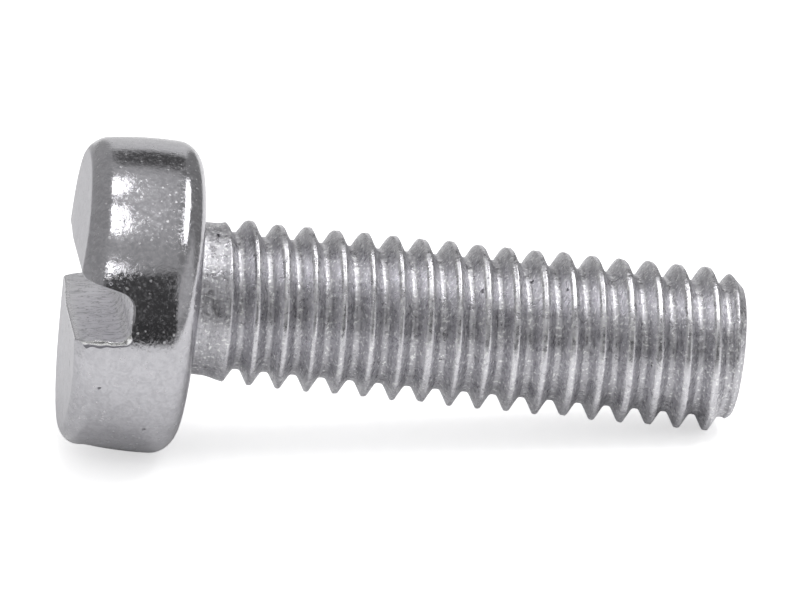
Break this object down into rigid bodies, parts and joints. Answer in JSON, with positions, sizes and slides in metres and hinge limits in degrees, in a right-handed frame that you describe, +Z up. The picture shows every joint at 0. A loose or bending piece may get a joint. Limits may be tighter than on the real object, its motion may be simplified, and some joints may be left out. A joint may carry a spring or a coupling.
{
  "type": "slotted cheese head machine screw",
  "caption": "Small slotted cheese head machine screw with a metric thread, lying on its side as it comes to rest.",
  "frame": {"origin": "middle of the base of the bounding box, on the surface that the screw lies on", "axes": "+X along the screw from its head to its end, in plan; +Z up from the surface; the screw's own axis lies in the XZ plane and dips by 7.70 degrees towards +X, because the head's rim and the last full thread crest both touch the surface"},
  "size_m": [0.012, 0.0054, 0.0055],
  "materials": {
    "zinc_plated_steel": "bright zinc plate, a little scuffed and pitted"
  },
  "bodies": {
    "root": {"screw": "zinc_plated_steel"}
  },
  "joints": []
}
